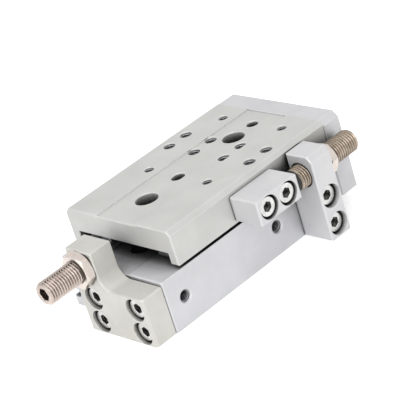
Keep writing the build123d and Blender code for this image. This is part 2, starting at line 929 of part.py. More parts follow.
def make_rod_bumpers():
    inner = rod_diameter + 2 * bumper_ring_gap
    outer = inner + 2 * bumper_ring_wall
    return cover_rings(outer, inner, cover_inner - bumper_ring_length, cover_inner)


def make_rear_plug(side):
    y = side * bore_y
    outer = bore_diameter - 2 * seat_gap
    plug = round_x(outer, plug_outer, plug_inner, y, bore_height)
    groove = plug_groove_start()
    floor = outer - 2 * o_ring_depth
    plug -= ring_x(outer + overcut, floor, groove, groove + o_ring_width, y, bore_height)
    return plug


def make_bore_o_rings():
    outer = bore_diameter - 2 * seal_gap
    inner = bore_diameter - 2 * seat_gap - 2 * o_ring_depth + 2 * seal_gap
    rings = []
    for start in (cover_groove_start(), plug_groove_start()):
        for side in sides:
            ends = (start + seal_gap, start + o_ring_width - seal_gap)
            rings.append(ring_x(outer, inner, ends[0], ends[1], side * bore_y, bore_height))
    return group(rings)


def retaining_ring(x0, x1, y):
    outer = bore_diameter + 2 * retaining_ring_depth - 2 * seat_gap
    inner = bore_diameter - 2 * retaining_ring_bar
    ring = ring_x(outer, inner, x0, x1, y, bore_height)
    half = inner * retaining_ring_mouth_share / 2
    ends = (x0 - overcut, x1 + overcut)
    return ring - block(*ends, y - half, y + half, bore_height - outer, bore_height)


def make_retaining_rings():
    rear = body_rear + retaining_ring_inset
    front = body_front - retaining_ring_inset - retaining_ring_width
    rings = []
    for x in (rear, front):
        for side in sides:
            start = x + seat_gap
            end = x + retaining_ring_width - seat_gap
            rings.append(retaining_ring(start, end, side * bore_y))
    return group(rings)


def port_plug():
    # Local Z points out of the port's mouth
    length = port_thread_depth - port_plug_sink - port_plug_end_gap
    middle = Pos(0, 0, -length / 2 - port_plug_sink)
    plug = middle * Cylinder(port_thread / 2 - thread_gap, length)
    socket = port_thread * port_plug_socket_share
    return plug - Pos(0, 0, -port_plug_sink - socket) * hexagon(socket, socket + overcut)


def make_port_plugs():
    plugs = []
    for x in (rear_port_x, front_port_x):
        plugs.append(facing((x, body_side, bore_height), (0, 1, 0), port_plug()))
    return group(plugs)


# Ball guide between the body's rib and the table

def rail_screw_lines(centre, count):
    return [centre + (n - (count - 1) / 2) * rail_screw_pitch for n in range(count)]


def body_rail_screw_lines():
    return rail_screw_lines(body_rail_centre, body_rail_screws_in_row)


def table_rail_screw_lines():
    return rail_screw_lines(table_rail_centre, table_rail_screws_in_row)


def body_rail_seat():
    return shoulder_height + guide_rail_height - rail_screw - rail_screw_sink


def table_rail_seat():
    return table_under - guide_rail_height + rail_screw + rail_screw_sink


def ball_track(x0, x1, side):
    track = ball_diameter + 2 * ball_gap
    return round_x(track, x0 - overcut, x1 + overcut, side * ball_y, ball_z)


def make_body_rail(side):
    ends = (body_rail_rear, body_rail_front)
    inner = side * rib_width / 2
    outer = side * (rib_width / 2 + guide_rail_width)
    rail = block(*ends, inner, outer, shoulder_height, shoulder_height + guide_rail_height)
    rail -= ball_track(*ends, side)
    for x in body_rail_screw_lines():
        hole = screw_hole(rail_screw, guide_rail_height, 0, rail_screw_sink)
        rail -= Pos(x, side * (rail_y - rail_screw_shift), body_rail_seat()) * hole
    return rail


def make_table_rail(side):
    x0 = table_rail_rear
    x1 = table_rail_front
    inner = side * (ball_y + rail_gap / 2)
    outer = side * (ball_y + rail_gap / 2 + guide_rail_width)
    rail = block(x0, x1, inner, outer, table_under - guide_rail_height, table_under)
    rail -= ball_track(x0, x1, side)
    for x in table_rail_screw_lines():
        hole = screw_hole(rail_screw, guide_rail_height, 0, rail_screw_sink)
        place = (x, side * (table_rail_y + rail_screw_shift), table_rail_seat())
        rail -= facing(place, (0, 0, -1), hole)
    return rail


def make_body_rail_screws():
    screws = []
    for side in sides:
        for x in body_rail_screw_lines():
            place = Pos(x, side * (rail_y - rail_screw_shift), body_rail_seat())
            screws.append(place * cap_screw(rail_screw, rail_screw_length))
    return group(screws)


def make_table_rail_screws():
    screws = []
    for side in sides:
        for x in table_rail_screw_lines():
            place = (x, side * (table_rail_y + rail_screw_shift), table_rail_seat())
            screws.append(facing(place, (0, 0, -1), cap_screw(rail_screw, rail_screw_length)))
    return group(screws)


def ball_places():
    last = balls_in_row - 1
    return [cage_centre + (n - last / 2) * ball_pitch for n in range(balls_in_row)]


def make_balls(side):
    return group(Pos(x, side * ball_y, ball_z) * Sphere(ball_diameter / 2) for x in ball_places())


def make_ball_cage(side):
    half = cage_length / 2
    thick = cage_thickness / 2
    y = side * ball_y
    x0 = cage_centre - half
    x1 = cage_centre + half
    cage = block(x0, x1, y - thick, y + thick, ball_z - cage_height / 2, ball_z + cage_height / 2)
    for x in ball_places():
        ends = (y - overcut, y + overcut)
        cage -= round_y(ball_diameter + 2 * running_gap, *ends, x, ball_z)
    return cage


def all_pieces():
    rear_bolt, rear_bumper, rear_nut = make_rear_adjuster()
    front_bolt, front_bumper, front_nut = make_front_adjuster()
    return {
        "body": make_body(),
        "rear_stop_block": make_rear_block(),
        "rear_block_screws": make_rear_block_screws(),
        "front_stop_block": make_front_block(),
        "front_block_screws": make_front_block_screws(),
        "rear_adjuster_bolt": rear_bolt,
        "rear_bumper": rear_bumper,
        "rear_lock_nut": rear_nut,
        "front_adjuster_bolt": front_bolt,
        "front_bumper": front_bumper,
        "front_lock_nut": front_nut,
        "table": make_table(),
        "end_plate": make_end_plate(),
        "end_plate_screws": make_end_plate_screws(),
        "stopper_block": make_stopper(),
        "stopper_screws": make_stopper_screws(),
        "right_piston_rod": make_rod(-1),
        "left_piston_rod": make_rod(1),
        "rod_end_screws": make_rod_screws(),
        "right_piston": make_piston(-1),
        "left_piston": make_piston(1),
        "piston_seals": make_piston_seals(),
        "piston_magnets": make_magnets(),
        "piston_wear_rings": make_wear_rings(),
        "piston_nuts": make_piston_nuts(),
        "right_rod_cover": make_rod_cover(-1),
        "left_rod_cover": make_rod_cover(1),
        "rod_bushes": make_rod_bushes(),
        "rod_seals": make_rod_seals(),
        "rod_bumpers": make_rod_bumpers(),
        "right_rear_plug": make_rear_plug(-1),
        "left_rear_plug": make_rear_plug(1),
        "bore_o_rings": make_bore_o_rings(),
        "retaining_rings": make_retaining_rings(),
        "port_plugs": make_port_plugs(),
        "right_body_rail": make_body_rail(-1),
        "left_body_rail": make_body_rail(1),
        "body_rail_screws": make_body_rail_screws(),
        "right_table_rail": make_table_rail(-1),
        "left_table_rail": make_table_rail(1),
        "table_rail_screws": make_table_rail_screws(),
        "right_ball_cage": make_ball_cage(-1),
        "left_ball_cage": make_ball_cage(1),
        "right_balls": make_balls(-1),
        "left_balls": make_balls(1),
    }


os.makedirs("parts", exist_ok=True)
for node, shape in all_pieces().items():
    export_step(shape, f"parts/{node}.step")
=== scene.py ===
"""Studio picture of a twin-rod slide cylinder with a ball-guided table."""

import logging
import math
from dataclasses import dataclass, field
from enum import Enum
from itertools import product
from typing import Any

import bmesh
import bpy
from mathutils import Matrix, Vector


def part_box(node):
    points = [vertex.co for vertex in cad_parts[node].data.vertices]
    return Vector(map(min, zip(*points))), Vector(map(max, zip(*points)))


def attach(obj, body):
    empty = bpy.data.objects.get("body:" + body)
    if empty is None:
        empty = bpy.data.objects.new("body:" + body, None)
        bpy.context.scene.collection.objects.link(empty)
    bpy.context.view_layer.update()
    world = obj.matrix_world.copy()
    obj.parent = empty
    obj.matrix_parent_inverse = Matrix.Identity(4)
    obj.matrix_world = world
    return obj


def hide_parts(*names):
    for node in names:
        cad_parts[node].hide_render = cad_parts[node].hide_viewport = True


MM = 0.001
LOG = logging.getLogger("slide_cylinder")
WHITE = "ffffff"
# The four corners of a rectangle of holes, as signs.
CORNERS = tuple(product((-1, 1), repeat=2))
# Points nearer to each other than this, in metres, are one.
WELD = 1e-7
# Edges that turn by more degrees than this stay sharp.
SHARP_ANGLE = 34.0
# Noise values between which the main colour of a finish turns into the worn one.
CLOUD_SPAN = (0.35, 0.68)
# Noise values of the cutter marks between which the roughness rises.
MARK_SPAN = (0.3, 0.7)
# Cosines between the true and the rounded normal: the painted edge highlight begins at the first and is
# full at the second.
EDGE_SPAN = (0.998, 0.90)
# Rays for each look round, for the painted shade in crevices and for the edges.
CREVICE_RAYS = 8
EDGE_RAYS = 6
# Sockets of a colour mix: its two colours, and its result.
MIX_FIRST = 6
MIX_SECOND = 7
MIX_RESULT = 2

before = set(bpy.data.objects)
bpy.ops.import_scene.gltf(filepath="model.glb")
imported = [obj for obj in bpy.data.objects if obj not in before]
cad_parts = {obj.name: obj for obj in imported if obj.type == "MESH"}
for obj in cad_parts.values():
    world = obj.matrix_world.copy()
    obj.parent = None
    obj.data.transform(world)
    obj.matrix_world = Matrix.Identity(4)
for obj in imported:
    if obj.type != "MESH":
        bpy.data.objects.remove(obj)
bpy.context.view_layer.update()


def linear(shade: str) -> tuple[float, float, float, float]:
    """Turns an sRGB colour into the linear one that a shader takes.

    Args:
        shade: The colour as six hex digits.

    Returns:
        Linear red, green, blue and an alpha of one.
    """
    channels = [int(shade[n:n + 2], 16) / 255 for n in (0, 2, 4)]
    turned = [c / 12.92 if c <= 0.04045 else ((c + 0.055) / 1.055) ** 2.4 for c in channels]
    return (turned[0], turned[1], turned[2], 1.0)


def add_node(
    tree: bpy.types.NodeTree,
    kind: str,
    settings: dict[str, Any] | None = None,
    values: dict[str | int, Any] | None = None,
) -> bpy.types.Node:
    """Adds one node to a tree, sets it up and links it.

    Args:
        tree: The node tree that gets the node.
        kind: The node's type name.
        settings: Properties of the node itself.
        values: Inputs by name or number: a socket is linked, anything else is set.

    Returns:
        The new node.
    """
    node = tree.nodes.new(kind)
    for name, value in (settings or {}).items():
        setattr(node, name, value)
    for key, value in (values or {}).items():
        socket = node.inputs[key]
        if isinstance(value, bpy.types.NodeSocket):
            tree.links.new(value, socket)
        else:
            socket.default_value = value
    return node


class MarkDirection(Enum):
    """The way that a cutter left its fine lines."""

    ALONG = (1.0, 14.0, 14.0)
    ACROSS = (14.0, 1.0, 14.0)
    EVEN = (1.0, 1.0, 1.0)


@dataclass(frozen=True)
class Finish:
    """A surface with its colour, gloss, grain and cutter marks; shade is painted into its colour in
    hollows, and a highlight is painted along its edges.

    Attributes:
        name: The material's name.
        shade: Main colour in sRGB hex.
        worn_shade: Colour of the cloudy patches.
        metallic: Share of metal, from 0 to 1.
        roughness: Mean roughness.
        roughness_spread: How far the roughness wanders each way.
        cloud_mm: Size of the cloudy patches.
        grain_mm: Size of the fine grain.
        grain_depth_mm: Height of the fine grain.
        marks: Direction of the cutter marks.
        mark_mm: Spacing of the cutter marks.
        mark_depth_mm: Height of the cutter marks.
        crevice_mm: How far a surface looks round itself for the shade painted into its colour.
        crevice_open: Share of open sky below which the painted shade begins.
        crevice_shut: Share of open sky at which the painted shade is darkest.
        crevice_depth: Share of the colour that is left in the deepest painted shade.
        edge_highlight_shade: Colour of the highlight painted along the edges, standing for the light that
            the broken edges catch.
        edge_mm: Width of the edges' rounding and of their painted highlight.
        edge_highlight_share: How much of the painted highlight shows.
    """

    name: str
    shade: str
    worn_shade: str
    metallic: float
    roughness: float
    roughness_spread: float = 0.05
    cloud_mm: float = 14.0
    grain_mm: float = 0.12
    grain_depth_mm: float = 0.004
    marks: MarkDirection = MarkDirection.EVEN
    mark_mm: float = 0.5
    mark_depth_mm: float = 0.002
    crevice_mm: float = 9.0
    crevice_open: float = 0.5
    crevice_shut: float = 0.12
    crevice_depth: float = 0.02
    edge_highlight_shade: str = "f4f4f2"
    edge_mm: float = 0.4
    edge_highlight_share: float = 0.75

    def crevices(self, tree: bpy.types.NodeTree) -> bpy.types.NodeSocket:
        """Adds shade painted into the colour of holes, gaps and grooves, darker where less open sky is
        found.

        Args:
            tree: The material's node tree.

        Returns:
            A share of the colour, one in the open and little deep inside.
        """
        sky = add_node(
            tree,
            "ShaderNodeAmbientOcclusion",
            settings={"samples": CREVICE_RAYS},
            values={"Distance": self.crevice_mm * MM},
        )
        return add_node(
            tree,
            "ShaderNodeMapRange",
            values={
                "Value": sky.outputs["AO"],
                "From Min": self.crevice_shut,
                "From Max": self.crevice_open,
                "To Min": self.crevice_depth,
                "To Max": 1.0,
            },
        ).outputs["Result"]

    def edges(self, tree: bpy.types.NodeTree) -> tuple[bpy.types.NodeSocket, bpy.types.NodeSocket]:
        """Adds the rounding of the edges, and the mask of the highlight painted along them.

        Args:
            tree: The material's node tree.

        Returns:
            The rounded normal, and how much painted highlight shows at a place, most at an edge.
        """
        rounded = add_node(
            tree,
            "ShaderNodeBevel",
            settings={"samples": EDGE_RAYS},
            values={"Radius": self.edge_mm * MM},
        ).outputs["Normal"]
        flat = add_node(tree, "ShaderNodeNewGeometry").outputs["Normal"]
        turned = add_node(
            tree,
            "ShaderNodeVectorMath",
            settings={"operation": "DOT_PRODUCT"},
            values={0: rounded, 1: flat},
        )
        near = add_node(
            tree,
            "ShaderNodeMapRange",
            values={
                "Value": turned.outputs["Value"],
                "From Min": EDGE_SPAN[0],
                "From Max": EDGE_SPAN[1],
                "To Min": 0.0,
                "To Max": self.edge_highlight_share,
            },
        )
        return rounded, near.outputs["Result"]

    def cutter_marks(
        self, tree: bpy.types.NodeTree, place: bpy.types.NodeSocket
    ) -> bpy.types.NodeSocket:
        """Adds the fine lines of the cutter.

        Args:
            tree: The material's node tree.
            place: The place on the part.

        Returns:
            The height of the lines, about one half on the mean.
        """
        turned = add_node(
            tree, "ShaderNodeMapping", values={"Vector": place, "Scale": self.marks.value}
        )
        return add_node(
            tree,
            "ShaderNodeTexNoise",
            values={
                "Vector": turned.outputs["Vector"],
                "Scale": 1 / (self.mark_mm * MM * max(self.marks.value)),
                "Detail": 3.0,
                "Roughness": 0.5,
            },
        ).outputs["Fac"]

    def colour(
        self,
        tree: bpy.types.NodeTree,
        place: bpy.types.NodeSocket,
        edge_highlight_mask: bpy.types.NodeSocket,
    ) -> bpy.types.NodeSocket:
        """Adds the cloudy colour, with a highlight painted along its edges and shade painted into its
        crevices.

        Args:
            tree: The material's node tree.
            place: The place on the part.
            edge_highlight_mask: How much of the painted edge highlight shows.

        Returns:
            The colour.
        """
        clouds = add_node(
            tree,
            "ShaderNodeTexNoise",
            values={"Vector": place, "Scale": 1 / (self.cloud_mm * MM), "Detail": 4.0, "Roughness": 0.55},
        )
        worn = add_node(
            tree,
            "ShaderNodeMapRange",
            values={
                "Value": clouds.outputs["Fac"],
                "From Min": CLOUD_SPAN[0],
                "From Max": CLOUD_SPAN[1],
            },
        )
        mixed = add_node(
            tree,
            "ShaderNodeMix",
            settings={"data_type": "RGBA"},
            values={
                "Factor": worn.outputs["Result"],
                MIX_FIRST: linear(self.shade),
                MIX_SECOND: linear(self.worn_shade),
            },
        )
        # Painted highlight: a lighter colour mixed in along the edges.
        highlighted = add_node(
            tree,
            "ShaderNodeMix",
            settings={"data_type": "RGBA"},
            values={
                "Factor": edge_highlight_mask,
                MIX_FIRST: mixed.outputs[MIX_RESULT],
                MIX_SECOND: linear(self.edge_highlight_shade),
            },
        )
        # Painted shade: the colour is darkened where little open sky is found round a place.
        return add_node(
            tree,
            "ShaderNodeVectorMath",
            settings={"operation": "SCALE"},
            values={0: highlighted.outputs[MIX_RESULT], "Scale": self.crevices(tree)},
        ).outputs["Vector"]

    def gloss(self, tree: bpy.types.NodeTree, marks: bpy.types.NodeSocket) -> bpy.types.NodeSocket:
        """Adds the roughness, which wanders with the cutter marks.

        Args:
            tree: The material's node tree.
            marks: The height of the cutter marks.

        Returns:
            The roughness.
        """
        return add_node(
            tree,
            "ShaderNodeMapRange",
            values={
                "Value": marks,
                "From Min": MARK_SPAN[0],
                "From Max": MARK_SPAN[1],
                "To Min": self.roughness - self.roughness_spread,
                "To Max": self.roughness + self.roughness_spread,
            },
        ).outputs["Result"]

    def relief(
        self,
        tree: bpy.types.NodeTree,
        place: bpy.types.NodeSocket,
        marks: bpy.types.NodeSocket,
        rounded: bpy.types.NodeSocket,
    ) -> bpy.types.NodeSocket:
        """Adds the grain and the cutter marks to the rounded normal.

        Args:
            tree: The material's node tree.
            place: The place on the part.
            marks: The height of the cutter marks.
            rounded: The normal with rounded edges.

        Returns:
            The normal of the surface.
        """
        grain = add_node(
            tree,
            "ShaderNodeTexNoise",
            values={"Vector": place, "Scale": 1 / (self.grain_mm * MM), "Detail": 2.0, "Roughness": 0.6},
        )
        normal = rounded
        for height, depth_mm in ((grain.outputs["Fac"], self.grain_depth_mm), (marks, self.mark_depth_mm)):
            normal = add_node(
                tree,
                "ShaderNodeBump",
                values={"Strength": 1.0, "Distance": depth_mm * MM, "Height": height, "Normal": normal},
            ).outputs["Normal"]
        return normal

    def material(self) -> bpy.types.Material:
        """Builds the finish as a material, once.

        Returns:
            The material with its nodes.
        """
        known = bpy.data.materials.get(self.name)
        if known is not None:
            return known
        made = bpy.data.materials.new(self.name)
        made.use_nodes = True
        tree = made.node_tree
        tree.nodes.clear()
        place = add_node(tree, "ShaderNodeTexCoord").outputs["Object"]
        marks = self.cutter_marks(tree, place)
        rounded, edge_highlight_mask = self.edges(tree)
        shader = add_node(
            tree,
            "ShaderNodeBsdfPrincipled",
            values={
                "Base Color": self.colour(tree, place, edge_highlight_mask),
                "Metallic": self.metallic,
                "Roughness": self.gloss(tree, marks),
                "Normal": self.relief(tree, place, marks, rounded),
            },
        )
        add_node(tree, "ShaderNodeOutputMaterial", values={"Surface": shader.outputs["BSDF"]})
        return made


# Blasting leaves a grain of about 0.1 mm, drawn here at nearly that size. Milled lines lie about as close,
# and are drawn three to five times as coarse, because a dot of the picture is about 0.4 mm wide.

# Clear anodised aluminium, fine blasted: a cool grey-white with a soft sheen and a barely visible grain.
# Shade painted into its colour reaches 22 mm, darkening it under the table and round the blocks.
BODY_ANODISE = Finish(
    "clear_anodised_body", "d2d2d5", "cacacd", 0.3, 0.48, grain_mm=0.16, grain_depth_mm=0.006,
    marks=MarkDirection.ALONG, mark_mm=0.35, crevice_mm=22.0, crevice_open=0.62, crevice_shut=0.24,
)
# Clear anodised aluminium, milled along the stroke: faint long lines under a neutral grey sheen. Shade
# painted into its colour reaches 20 mm, darkening its holes and the gap under it.
TABLE_ANODISE = Finish(
    "clear_anodised_table", "cacac7", "c2c2bf", 0.3, 0.48, marks=MarkDirection.ALONG, mark_mm=0.5,
    crevice_mm=20.0, crevice_open=0.52, crevice_shut=0.26,
)
# Clear anodised aluminium, milled across: a slightly warm grey with fine cross lines. Painted shade within
# 3 mm darkens its seams and the rings round the screw heads.
BLOCK_ANODISE = Finish(
    "clear_anodised_block", "cfcec9", "c6c4be", 0.3, 0.48, marks=MarkDirection.ACROSS, mark_mm=0.4,
    crevice_mm=3.0, crevice_open=0.72, crevice_shut=0.46,
)
# The same from another batch: a touch cooler and whiter. Painted shade within 3 mm makes the black rings
# round the screw heads.
STOP_ANODISE = Finish(
    "clear_anodised_stop", "d3d3d4", "ccccce", 0.3, 0.48, marks=MarkDirection.ACROSS, mark_mm=0.4,
    crevice_mm=3.0, crevice_open=0.74, crevice_shut=0.48,
)
# The end plate's own batch: as cool, but a shade deeper.
PLATE_ANODISE = Finish(
    "clear_anodised_plate", "cdcdcf", "c5c5c8", 0.3, 0.48, marks=MarkDirection.ACROSS, mark_mm=0.4,
    crevice_mm=6.0, crevice_open=0.66, crevice_shut=0.3,
)
# Freshly cut thread in aluminium: bare flanks, with painted shade that darkens them towards the bottom of
# the hole.
CUT_THREAD = Finish(
    "cut_aluminium_thread", "a9a9ad", "98989c", 0.7, 0.36, cloud_mm=2.0, grain_mm=0.1, crevice_mm=6.0,
    crevice_open=0.5, crevice_shut=0.16, edge_highlight_share=0.15,
)
# Turned aluminium left bare: fine rings that stretch the highlights.
TURNED_ALUMINIUM = Finish(
    "turned_aluminium", "c4c4c4", "b4b4b4", 1.0, 0.34, marks=MarkDirection.ALONG, mark_mm=0.2,
)
# Zinc plated steel: bright heads with painted shade in their sockets, against the black ring of painted
# shade on the block round them.
SCREW_PLATING = Finish(
    "bright_screw_plating", "d6d6d4", "c0c0be", 1.0, 0.24, cloud_mm=3.0, grain_mm=0.08,
    crevice_mm=3.0, crevice_open=0.62, crevice_shut=0.4, crevice_depth=0.04,
)
# Nickel plated steel with a warm cast: its threads' dark grooves are painted shade, and their bright crests
# partly a painted edge highlight.
ADJUSTER_PLATING = Finish(
    "warm_nickel_plating", "cabdb5", "b2a49b", 1.0, 0.26, cloud_mm=5.0, grain_mm=0.1, grain_depth_mm=0.001,
    mark_depth_mm=0.0005, crevice_mm=4.0, crevice_open=0.68, crevice_shut=0.3, crevice_depth=0.16,
    edge_mm=0.12,
)
# The same plating, darker and yellower: a shaded copy for the front bolt, with painted shade and a warm
# painted reflection for how it is lit beyond the front block. Its straw crests are partly a painted edge
# highlight, its brown grooves painted shade.
SHADED_ADJUSTER_PLATING = Finish(
    "shaded_nickel_plating", "b4a698", "95887a", 1.0, 0.28, cloud_mm=3.0, grain_mm=0.1, grain_depth_mm=0.001,
    mark_depth_mm=0.0005, crevice_mm=4.0, crevice_open=0.68, crevice_shut=0.3, edge_highlight_shade="e8dcc4",
    edge_mm=0.12,
)
# The nuts' plating: the same warm cast, but whiter, with painted shade that reaches only 2 mm.
NUT_PLATING = Finish(
    "lock_nut_plating", "ded4cc", "ccc2ba", 1.0, 0.3, cloud_mm=6.0, grain_mm=0.1, grain_depth_mm=0.001,
    crevice_mm=2.0, crevice_open=0.6, crevice_shut=0.2, edge_mm=0.2,
)
# Hard chrome on ground steel: near mirror, with hairlines round the rod.
ROD_CHROME = Finish(
    "rod_chrome", "dcdce0", "d0d0d6", 1.0, 0.10, roughness_spread=0.03, grain_depth_mm=0.0006,
    marks=MarkDirection.ACROSS, mark_mm=0.1, mark_depth_mm=0.0004,
)
# Ground bearing steel: grey with a fine lengthwise grind.
GROUND_STEEL = Finish(
    "ground_rail_steel", "b4b4b8", "a2a2a8", 1.0, 0.28, marks=MarkDirection.ALONG, mark_mm=0.15,
)
# Polished bearing steel: small sharp highlights.
BALL_STEEL = Finish(
    "polished_ball_steel", "e0e0e2", "d2d2d6", 1.0, 0.08, roughness_spread=0.02, grain_depth_mm=0.0004,
)
# Blackened spring steel: dark, half matt.
RING_STEEL = Finish(
    "blackened_ring_steel", "3a3835", "2c2a28", 0.8, 0.45, cloud_mm=2.0, grain_mm=0.08, edge_highlight_share=0.1,
)
# Sintered bronze: brown, porous and dull.
BUSH_BRONZE = Finish(
    "sintered_bronze", "a8793f", "8f6534", 1.0, 0.48, cloud_mm=1.0, grain_mm=0.09, grain_depth_mm=0.01,
    edge_highlight_share=0.2,
)
# Moulded nitrile rubber: black and matt, without a painted edge highlight.
RUBBER = Finish(
    "moulded_rubber", "1b1b1c", "242425", 0.0, 0.62, cloud_mm=4.0, grain_mm=0.14, grain_depth_mm=0.01,
    edge_highlight_share=0.0,
)
# Moulded acetal: dark grey with a faint skin gloss.
RESIN = Finish(
    "moulded_resin", "2a2a2c", "323234", 0.0, 0.48, cloud_mm=3.0, grain_mm=0.1, edge_highlight_share=0.05,
)
# Filled resin of the wear rings: a dull straw colour.
RING_RESIN = Finish(
    "wear_ring_resin", "b8b09a", "a8a08c", 0.0, 0.5, cloud_mm=2.0, grain_mm=0.1, edge_highlight_share=0.1,
)


def dress(piece: bpy.types.Object, finish: Finish) -> None:
    """Gives every slot of a piece one finish.

    Args:
        piece: The object to dress.
        finish: The finish that it gets.
    """
    material = finish.material()
    if not piece.material_slots:
        piece.data.materials.append(material)
    for slot in piece.material_slots:
        slot.material = material


def finished_object(
    name: str, work: bmesh.types.BMesh, finish: Finish, body: str
) -> bpy.types.Object:
    """Turns a worked mesh into a piece of the part.

    Args:
        name: The piece's name.
        work: The mesh, which is freed.
        finish: The piece's finish.
        body: The body that the piece moves with.

    Returns:
        The new object, smooth apart from its sharp edges.
    """
    bmesh.ops.remove_doubles(work, verts=work.verts, dist=WELD)
    bmesh.ops.recalc_face_normals(work, faces=work.faces)
    sharp = math.radians(SHARP_ANGLE)
    for face in work.faces:
        face.smooth = True
    for edge in work.edges:
        edge.smooth = len(edge.link_faces) == 2 and edge.calc_face_angle(0.0) < sharp
    mesh = bpy.data.meshes.new(name)
    work.to_mesh(mesh)
    work.free()
    piece = bpy.data.objects.new(name, mesh)
    bpy.context.scene.collection.objects.link(piece)
    dress(piece, finish)
    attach(piece, body)
    return piece


@dataclass
class AdjusterBolt:
    """A fully threaded bolt with a hexagon socket in its free end.

    Attributes:
        name: The piece's name.
        node: The CAD node that it stands for.
        body: The body that it moves with.
        axis_mm: Where its axis lies, in Y and Z.
        outward: Which way along X its free end points, 1 or -1.
        finish: The finish of the whole bolt.
        radius_mm: Crest radius of the thread.
        pitch_mm: Thread pitch.
        depth_mm: Thread depth.
        socket_mm: Socket width across its flats.
        socket_depth_mm: Depth of the socket.
        root_share: Share of half a pitch on which the root is flat.
        flank_share: Share of half a pitch that a flank takes.
        bevel_depth: Depth of the bevel at both ends, as a share of the thread's.
        bevel_slope: Rise of that bevel for each millimetre along the bolt.
        mouth_grow: How much wider the socket's mouth is than the socket.
        mouth_mm: Depth of the bevel at that mouth.
        drill_share: Radius of the drilled bottom, as a share of the socket's width.
        tip_share: Depth of the drill's cone, as a share of that radius.
        columns: Points round the bolt.
        steps: Rows for each turn of the thread.
        length_mm: Length over all, which is the CAD node's.
        inner_end_mm: Place of its inner end in X, which is the CAD node's.
    """

    name: str
    node: str
    body: str
    axis_mm: tuple[float, float]
    outward: int
    finish: Finish
    radius_mm: float = 5.0
    pitch_mm: float = 1.25
    depth_mm: float = 0.72
    socket_mm: float = 5.0
    socket_depth_mm: float = 5.0
    root_share: float = 0.12
    flank_share: float = 0.74
    bevel_depth: float = 1.1
    bevel_slope: float = 0.95
    mouth_grow: float = 1.10
    mouth_mm: float = 0.25
    drill_share: float = 0.45
    tip_share: float = 0.5
    columns: int = 72
    steps: int = 8
    length_mm: float = field(init=False)
    inner_end_mm: float = field(init=False)

    def __post_init__(self) -> None:
        """Takes the bolt's inner end and length from its CAD node."""
        low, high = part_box(self.node)
        self.length_mm = (high.x - low.x) / MM
        self.inner_end_mm = (low.x if self.outward > 0 else high.x) / MM

    def crest_radius(self, share: float, height: float) -> float:
        """The thread's radius at one point.

        Args:
            share: Place within the pitch, from 0 to 1.
            height: Distance from the inner end in millimetres.

        Returns:
            The radius in millimetres, less near both ends.
        """
        wave = abs(share - 0.5) * 2
        rise = min(1.0, max(0.0, (wave - self.root_share) / self.flank_share))
        near_end = max(0.0, min(height, self.length_mm - height))
        limit = self.radius_mm - self.depth_mm * self.bevel_depth + near_end * self.bevel_slope
        return min(self.radius_mm - self.depth_mm + self.depth_mm * rise, limit)

    def rings(self) -> list[list[tuple[float, float]]]:
        """Lays out the thread.

        Returns:
            Rows of radius and height in millimetres, one pair for each column.
        """
        rows: list[list[tuple[float, float]]] = []
        turns = int(self.length_mm / self.pitch_mm) + 2
        for step in range(-self.steps, turns * self.steps):
            row = []
            for column in range(self.columns):
                height = (step / self.steps + column / self.columns) * self.pitch_mm
                height = min(max(height, 0.0), self.length_mm)
                row.append((self.crest_radius((step / self.steps) % 1.0, height), height))
            rows.append(row)
        return rows

    def socket_rings(self) -> list[list[tuple[float, float]]]:
        """Lays out the free end's flat, the socket's wall and its floor.

        Returns:
            Rows of radius and height in millimetres, one pair for each column.
        """
        top = self.length_mm
        floor = top - self.socket_depth_mm
        sixth = math.pi / 3
        rows = []
        for grow, height in ((self.mouth_grow, top), (1.0, top - self.mouth_mm), (1.0, floor)):
            row = []
            for column in range(self.columns):
                turn = math.tau * column / self.columns
                within = (turn + sixth / 2) % sixth - sixth / 2
                row.append((self.socket_mm / 2 / math.cos(within) * grow, height))
            rows.append(row)
        drill = self.socket_mm * self.drill_share
        rows.append([(drill, floor)] * self.columns)
        rows.append([(0.0, floor - drill * self.tip_share)] * self.columns)
        return rows

    def build(self) -> bpy.types.Object:
        """Builds the bolt in place of its CAD node.

        Returns:
            The bolt.
        """
        rows = [[(0.0, 0.0)] * self.columns] + self.rings() + self.socket_rings()
        turn = Matrix.Rotation(math.radians(90.0 * self.outward), 4, "Y")
        place = Matrix.Translation(Vector((self.inner_end_mm, *self.axis_mm)) * MM) @ turn
        work = bmesh.new()
        grid = []
        for row in rows:
            line = []
            for column, (radius, height) in enumerate(row):
                angle = math.tau * column / self.columns
                spot = Vector((radius * math.cos(angle), radius * math.sin(angle), height)) * MM
                line.append(work.verts.new(place @ spot))
            grid.append(line)
        for low, high in zip(grid, grid[1:]):
            for column in range(self.columns):
                after = (column + 1) % self.columns
                work.faces.new((low[column], low[after], high[after], high[column]))
        bmesh.ops.remove_doubles(work, verts=work.verts, dist=WELD)
        bmesh.ops.dissolve_degenerate(work, edges=work.edges, dist=WELD)
        piece = finished_object(self.name, work, self.finish, self.body)
        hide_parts(self.node)
        return piece


@dataclass(frozen=True)
class Thread:
    """The size of a tapped thread.

    Attributes:
        wall_mm: Radius of the hole's wall.
        pitch_mm: Distance from one turn to the next.
    """

    wall_mm: float
    pitch_mm: float


LARGE_THREAD = Thread(2.5, 0.8)
SMALL_THREAD = Thread(2.0, 0.7)


